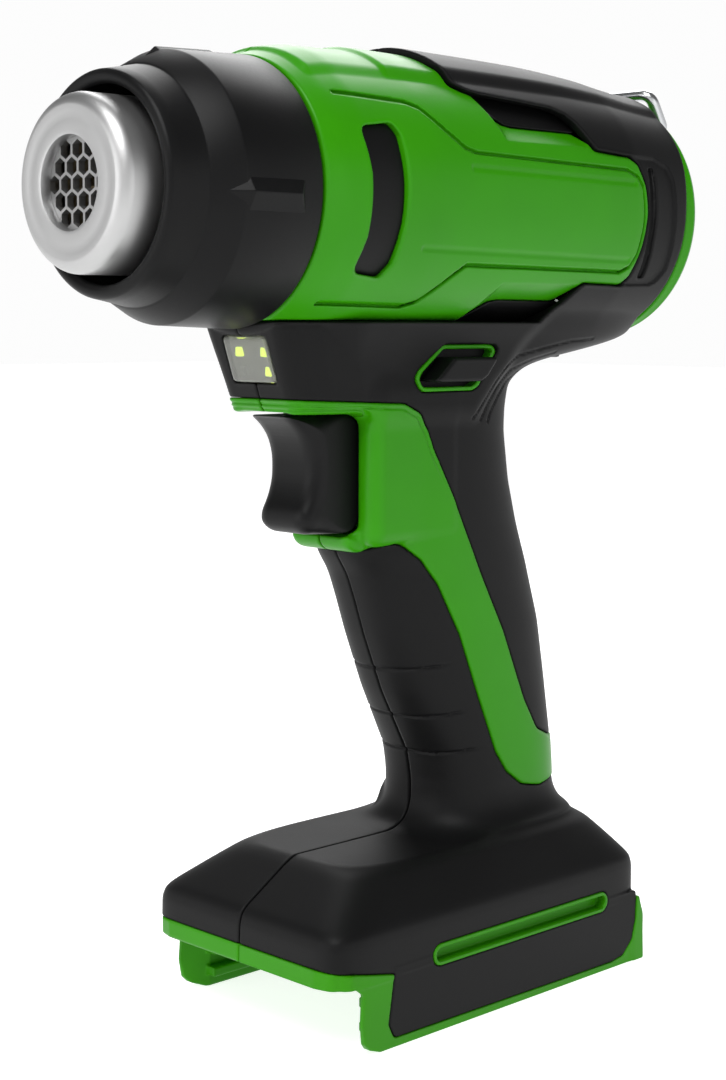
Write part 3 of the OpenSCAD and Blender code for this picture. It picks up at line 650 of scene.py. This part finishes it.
def make_skins():
    def right_skin(p):
        """Mirror image of the left skin, with the holes over the clamshell screws."""
        d = overmould(p * np.array([1, -1, 1]))
        for x, z in SCREWS:
            r = np.hypot(p[:, 0] - x, p[:, 2] - z)
            boss = np.maximum(r - 4.6, np.abs(p[:, 1] - 11) - 5)
            d = smax(smin(d, boss, 2.5), -np.maximum(r - 3.1, 12.5 - p[:, 1]), 0.4)
        return d

    moulding("overmould_left", overmould, (43, -38, -213), (192, 1, 42), 0.6, RUBBER, "body",
             ("grip_left", "side_panels"))
    moulding("overmould_right", right_skin, (43, -1, -213), (192, 38, 42), 0.6, RUBBER, "body",
             ("grip_right",))
    moulding_pair("green_trim", green_strip, (43, -21, -162), (176, 1, -48), 0.5, GREEN,
                  (("side_strip_left",), ("side_strip_right",)))


def arc(cx, cr, r, a0, a1, n=8):
    """Points on an arc in the x, radius plane, in degrees."""
    return [(cx + r * math.cos(math.radians(a)), cr + r * math.sin(math.radians(a)))
            for a in np.linspace(a0, a1, n)]


def make_front():
    nozzle = [(1.4, 10.6), (0.5, 10.9), (0.25, 11.8), (0.6, 14), (0.55, 16), *arc(3.9, 16.9, 3.7, 172, 95, 12),
              (8, 20.6), (30, 20.6), (30.4, 24.3), (34, 24.3), (34, 18.4), (9, 18.4), (6, 13.6), (3, 13.6),
              (3, 10.6)]
    turned("nozzle_turned", nozzle, STEEL, nodes=("nozzle",))
    bezel = [(14, 24.9), (10.7, 23.1), *arc(10.6, 24.6, 1.8, 265, 112, 14), (12.6, 26.75), (18.6, 27.9),
             (18.85, 28.0), (19.05, 28.2), (19.3, 28.5), (25.8, 31.9), (26.05, 32.04), (26.3, 32.14),
             (26.6, 32.2), (48.3, 33.0), (48.8, 32.8), (49.1, 32.5), (49.1, 30), (28, 27)]
    turned("heat_collar", bezel, BLACK, nodes=("front_collar",))
    for name, turn, shift, peak in (("top", 0, 0, 32.9), ("left", 90, 2.0, 34.1), ("right", -90, -2.0, 34.1)):
        c, s = math.cos(math.radians(turn)), math.sin(math.radians(turn))

        def rib(p, c=c, s=s, shift=shift, peak=peak):
            across, out = c * p[:, 1] + s * p[:, 2] + shift, -s * p[:, 1] + c * p[:, 2]
            ridge = np.minimum(30.1 + 0.85 * (p[:, 0] - 22.4), peak + 0.04 * (p[:, 0] - 27))
            roof = (out - ridge + 0.6 * np.abs(across)) / 1.35
            tail = (p[:, 0] - 41 - 1.2 * (34.6 - out)) / 1.6
            return smax(smax(roof, tail, 0.25), np.maximum(28.6 - out, np.abs(across) - 4.6), 0.2)

        lo, hi = ((20, -36, -7), (48, 36, 7)) if turn else ((20, -6, 29), (48, 6, 36))
        moulding("collar_rib_" + name, rib, lo, hi, 0.3, BLACK)


def make_rear():
    ring = [(187.4, 33.2), *arc(188.6, 33.3, 0.7, 180, 90, 4), (191, 33.9), *arc(190.8, 30.9, 3.2, 80, 5, 8),
            (194, 28.6), (193.4, 28.05), (189.2, 28.05), (187.4, 30)]
    turned("rear_ring_turned", ring, GREEN, nodes=("rear_ring",), drop=0.9)
    lug = Plan(rounded([(188, 20.5), (188, 30.2), (203, 28.4), (205.4, 27), (205.5, 24), (203, 21.6)], 1.4))
    moulding_pair("hook_lug", lambda p: smax(lug(p[:, 0], p[:, 2]), np.abs(p[:, 1] + 10.5) - 1.7, 0.9),
                  (187, -13, 19), (206, -8, 31), 0.4, GREEN)


def make_hook():
    """Wire bail bent from one round rod."""
    px, pz, top_x, top_z, half, bend = 202.5, 25.0, 196.3, 34.3, 14.0, 3.4
    low, high = Vector((px, half, pz)), Vector((top_x, half, top_z))
    along, corner = (high - low).normalized(), []
    start, side = high - along * bend, Vector((0, -1, 0))
    for t in np.linspace(0, 1, 9).tolist():
        corner.append((1 - t) ** 2 * start + 2 * t * (1 - t) * high + t * t * (high + side * bend))
    foot_corner = [(1 - t) ** 2 * (low + side * 1.6) + 2 * t * (1 - t) * low + t * t * (low + along * 1.6)
                   for t in np.linspace(0, 1, 6).tolist()]
    path = [Vector((px, 9.1, pz)), *foot_corner, *corner]
    path += [Vector((q.x, -q.y, q.z)) for q in reversed(path)]
    settle(tube_mesh("hook_wire", path, 1.7), WIRE, "hook", ("wire_hook",))


def make_controls():
    def trigger(p):
        x, y, z = p.T
        face = smax(trigger_side(x, z), np.abs(y) - 9.7, 5.2 - 4.2 * step01(x, 70, 79))
        stem = np.maximum(np.hypot(y, z + 70) - 3, np.maximum(80 - x, x - 100))
        return np.minimum(face, stem)

    moulding("trigger_body", trigger, (59, -10.5, -86), (101, 10.5, -53), 0.35, TRIGGER_BLACK,
             "trigger", ("trigger",))
    moulding("lock_slider", lambda p: smax(button(p[:, 0], p[:, 2]), np.abs(p[:, 1] + 2) - 21, 1.3),
             (96, -24.5, -48), (124, 20.5, -38.5), 0.35, TRIGGER_BLACK, "lock",
             ("lock_button",))

    def ring(p):
        d = pocket(p[:, 0], p[:, 2])
        return smax(smax(d, -1.15 - d, 0.4), np.abs(p[:, 1] + 16.9) - 2.1, 0.5)

    moulding_pair("lock_ring", ring, (93, -20, -50), (127, -13, -35), 0.3, GREEN,
                  (("lock_rings",), ()))

    def lamp(p):
        front = np.interp(p[:, 2], (-46.2, -34.4), (56.0, 52.0))
        return smax(smax(lens(p[:, 0], p[:, 2]) - 0.1, np.abs(p[:, 1]) - 8.1, 1.4), p[:, 0] - front - 2.6, 0.3)

    moulding("lamp_lens", lamp, (50, -9.5, -48), (61, 9.5, -33), 0.3, SMOKY, "body", ("led_lens",))
    chips = ((4.9, -38.2, CHIP), (-4.5, -38.2, CHIP), (-4.5, -43.0, CHIP), (4.9, -43.0, NYLON))
    for i, (y, z, material) in enumerate(chips):
        x = np.interp(z, (-46.2, -34.4), (56.0, 52.0)) + 3.0
        chip = lambda p, x=x, y=y, z=z: box_field(p, (x, y - 1.1, z - 1.2), (x + 1.5, y + 1.1, z + 1.2), 0.3)
        moulding("light_chip_%d" % (i + 1), chip, (x - 1, y - 2, z - 2), (x + 2.5, y + 2, z + 2), 0.25, material)


def make_foot():
    wall = Plan(rounded([(51, -189), (51.2, -193.6), (57.6, -193.9), (60.3, -196), (59.7, -204), (60.6, -208.8),
                         (62.4, -210.6), (66, -211.9), (173.4, -211.9), (172.6, -200), (168.9, -191.6),
                         (166, -189)], 0.9))
    plan = Plan(rounded([(50.4, -28), (51.7, -32.8), (56, -35.8), (62, -36.1), (169.8, -36.1), (169.8, 36.1),
                         (62, 36.1), (56, 35.8), (51.7, 32.8), (50.4, 28)], 3.5))

    def foot(p):
        x, y, z = p.T
        side = np.abs(y)
        tray = smax(plan(x, y), np.abs(z + 191) - 2.9, 0.5)
        inner = np.interp(x, (60, 67), (34.6, 31))
        walls = smax(smax(wall(x, z), side - 36.2, 0.5), inner - side, 0.4)
        walls = smax(walls, plan(x, y) - 3 * step01(x, 165, 172), 0.4)
        rails = smin(box_field(p, (66, -31.5, -208.6), (168, -28, -206), 0.4),
                     box_field(p, (66, -31.5, -202.4), (168, -28, -199.6), 0.4), 0.3)
        back = np.interp(z, (-211.9, -190), (172.6, 169.7))
        rear = smax(smax(x - back, 167.6 - x, 0.3), smax(side - 36.1, np.abs(z + 200.6) - 11.3, 0.5), 0.9)
        d = smin(smin(tray, walls, 0.6), smin(rails, rear, 0.4), 0.6)
        d = smax(d, -box_field(p, (146, -16, -200), (166.1, 16, -180), 0.3), 0.4)
        d = smax(d, z - np.interp(x, BAND_X, BAND_Z) + 0.12, 0.4)
        d = smax(d, -smax(side_panel(x, z) - 0.14, 33.6 - side, 0.3), 0.35)
        d = smax(d, -smax(slot(x, z) - 0.08, 32.2 - side, 0.3), 0.3)
        return smax(d, seam(p), 0.3)

    moulding_pair("foot_shell", foot, (49, -37, -213), (175, 1, -187), 0.42, GREEN_DARK,
                  (("foot",), ()))

    def trim(p):
        d, side = slot(p[:, 0], p[:, 2]), np.abs(p[:, 1])
        body = smax(smax(d, side - 36.25, 0.35), 32.4 - side, 0.2)
        return smax(body, -smax(d + 1.05, 33.2 - side, 0.3), 0.3)

    moulding_pair("slot_trim", trim, (84, -37, -196), (157, -32, -187), 0.35, GREEN_DARK,
                  (("slot_trims",), ()))


def make_stage():
    """Pale floor, camera at the photograph's angle and soft studio light."""
    floor = bpy.data.meshes.new("floor")
    r = 6.0
    floor.from_pydata([(-r, -r, 0), (r, -r, 0), (r, r, 0), (-r, r, 0)], [], [(0, 1, 2, 3)])
    obj = bpy.data.objects.new("floor", floor)
    obj.location.z = FLOOR_Z * MM
    bpy.context.collection.objects.link(obj)
    obj.data.materials.append(moulded("pale_floor", (0.6, 0.6, 0.6), 0.6, grain=300, bump=0.02, fade=0.01, glow=1.4))
    cam = bpy.data.objects.new("camera", bpy.data.cameras.new("camera"))
    bpy.context.collection.objects.link(cam)
    cam.data.sensor_fit, cam.data.sensor_height, cam.data.lens = "VERTICAL", 36.0, 65.13
    cam.data.clip_start = 0.02
    cam.location = Vector((-266.1, -367.3, -30.3)) * MM
    turn = Matrix.Rotation(math.radians(-44.466), 4, "Z") @ Matrix.Rotation(math.radians(90 - 6.466), 4, "X")
    cam.rotation_euler = (turn @ Matrix.Rotation(math.radians(0.235), 4, "Z")).to_euler()
    bpy.context.scene.camera = cam
    for name, place, size, power in (
            ("key", (-0.55, -0.35, 0.95), 0.8, 15), ("fill", (-0.95, 0.25, 0.15), 0.7, 3.0),
            ("side", (0.15, -1.0, 0.1), 0.6, 0.9), ("back", (0.7, 0.5, 0.7), 0.8, 9)):
        light = bpy.data.objects.new(name, bpy.data.lights.new(name, "AREA"))
        light.data.energy, light.data.size = power, size
        light.location = place
        aim = Vector((0.09, 0, -0.08)) - Vector(place)
        light.rotation_euler = aim.to_track_quat("-Z", "Y").to_euler()
        bpy.context.collection.objects.link(light)
    world = bpy.data.worlds.new("studio")
    bpy.context.scene.world = world
    world.use_nodes = True
    tree = world.node_tree
    sky = tree.nodes["Background"]
    sky.inputs["Color"].default_value = (1, 1, 1, 1)
    place, split = tree.nodes.new("ShaderNodeTexCoord"), tree.nodes.new("ShaderNodeSeparateXYZ")
    fall = tree.nodes.new("ShaderNodeMapRange")
    for name, value in (("From Min", 0.17), ("From Max", 0.4), ("To Min", 0.98), ("To Max", 0.16)):
        fall.inputs[name].default_value = value
    link(tree, place, "Generated", split, "Vector")
    link(tree, split, "Z", fall, "Value")
    link(tree, fall, "Result", sky, "Strength")
    bpy.context.scene.view_settings.view_transform = "Standard"


dress_frame()
make_stage()
make_barrel()
make_skins()
make_front()
make_rear()
make_hook()
make_controls()
make_foot()
